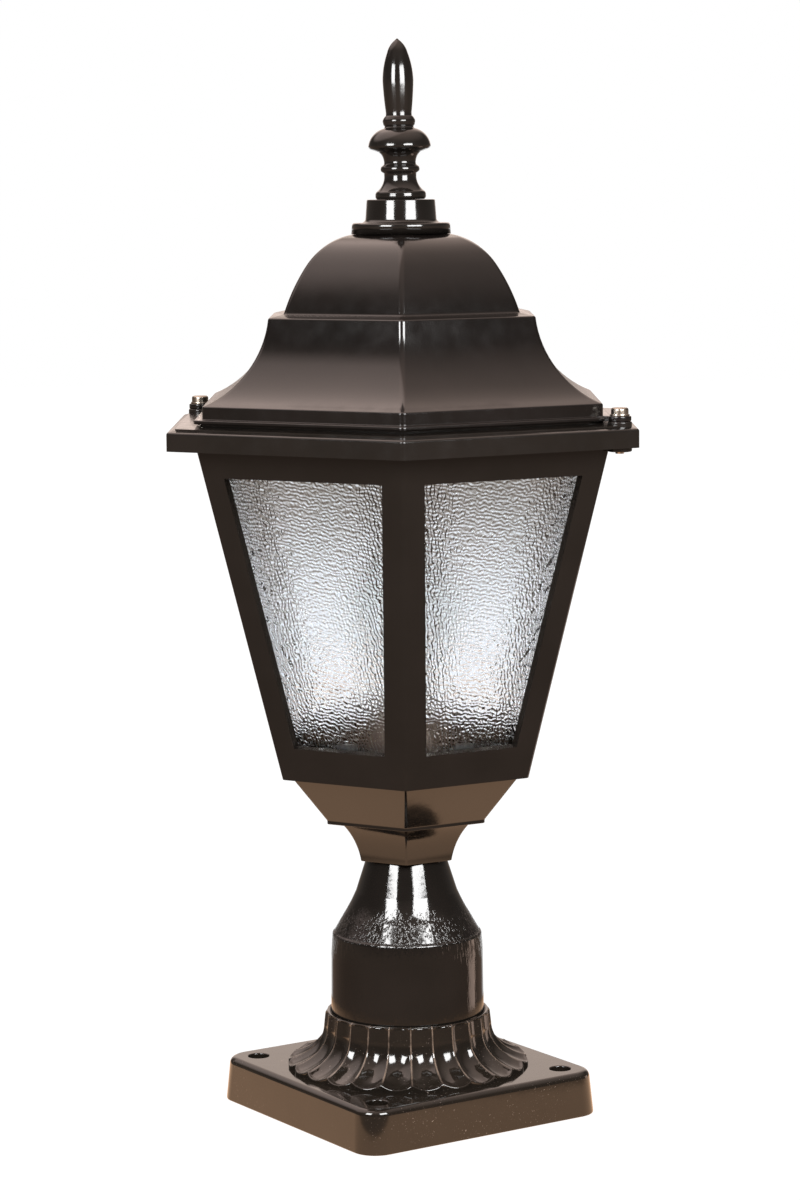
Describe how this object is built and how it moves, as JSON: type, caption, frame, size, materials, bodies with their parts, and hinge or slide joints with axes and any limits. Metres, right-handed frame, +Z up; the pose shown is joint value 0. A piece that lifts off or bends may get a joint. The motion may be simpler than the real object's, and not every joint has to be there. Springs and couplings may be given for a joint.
{
  "type": "pedestal lantern",
  "caption": "Hexagonal pedestal lantern with a lift-off domed roof, turned finial and hammered glass windows, on a round column with a fluted square base plate.",
  "frame": {"origin": "middle of the base plate's foot, on the surface that it stands on", "axes": "+Z up; a corner of the six-sided head points to -Y; the square plate is turned so that a corner lies 11.2 degrees to the -X side of -Y"},
  "size_m": [0.2148, 0.248, 0.5088],
  "materials": {
    "painted_casting": "gloss dark brown paint over cast aluminium",
    "hammered_glass": "clear glass, hammered on one face",
    "nickel_steel": "bright nickel plate",
    "zinc_steel": "zinc plate",
    "brass": "plain brass",
    "lamp_aluminium": "rolled aluminium",
    "lamp_glass": "clear, unlit",
    "filament_wire": "drawn wire",
    "black_insulator": "moulded black",
    "ceramic": "fired white",
    "block_plastic": "moulded natural",
    "lead_brown": "smooth",
    "lead_blue": "smooth",
    "lead_green": "smooth, green with yellow"
  },
  "bodies": {
    "lantern": {"base_plate": "painted_casting", "column": "painted_casting", "neck_collar": "painted_casting", "lower_bowl": "painted_casting", "lantern_frame": "painted_casting", "frame_screws": "zinc_steel", "glass_pane_front_right": "hammered_glass", "glass_pane_right": "hammered_glass", "glass_pane_back_right": "hammered_glass", "glass_pane_back_left": "hammered_glass", "glass_pane_left": "hammered_glass", "glass_pane_front_left": "hammered_glass", "pane_clips": "zinc_steel", "clip_screws": "zinc_steel", "tie_tube": "zinc_steel", "tie_washers": "zinc_steel", "tie_nuts": "zinc_steel", "lampholder_cap": "black_insulator", "lampholder_barrel": "black_insulator", "lampholder_core": "ceramic", "lampholder_shell": "brass", "lampholder_contact": "brass", "lampholder_screws": "zinc_steel", "live_lead": "lead_brown", "neutral_lead": "lead_blue", "earth_lead": "lead_green", "terminal_block": "block_plastic", "clamp_screws": "zinc_steel", "block_screws": "zinc_steel", "earth_tag": "brass", "earth_screw": "brass"},
    "roof_group": {"roof": "painted_casting", "finial_cap": "painted_casting", "finial_spindle": "painted_casting", "finial_stud": "zinc_steel", "finial_washer": "zinc_steel", "finial_nut": "zinc_steel"},
    "right_screw": {"roof_screw_right": "nickel_steel", "roof_washer_right": "nickel_steel"},
    "left_screw": {"roof_screw_left": "nickel_steel", "roof_washer_left": "nickel_steel"},
    "lamp": {"lamp_contact": "brass", "lamp_insulator": "black_insulator", "lamp_cap": "lamp_aluminium", "lamp_bulb": "lamp_glass", "lamp_stem": "lamp_glass", "lamp_filament": "filament_wire"}
  },
  "joints": [
    {"name": "roof_lift", "type": "slide", "parent": "lantern", "child": "roof_group", "axis": [0, 0, 1], "range_m": [0, 0.15]},
    {"name": "roof_screw_right_out", "type": "slide", "parent": "roof_group", "child": "right_screw", "axis": [0, 0, 1], "range_m": [0, 0.018]},
    {"name": "roof_screw_left_out", "type": "slide", "parent": "roof_group", "child": "left_screw", "axis": [0, 0, 1], "range_m": [0, 0.018]},
    {"name": "lamp_out", "type": "slide", "parent": "lantern", "child": "lamp", "axis": [0, 0, 1], "range_m": [0, 0.03]}
  ]
}
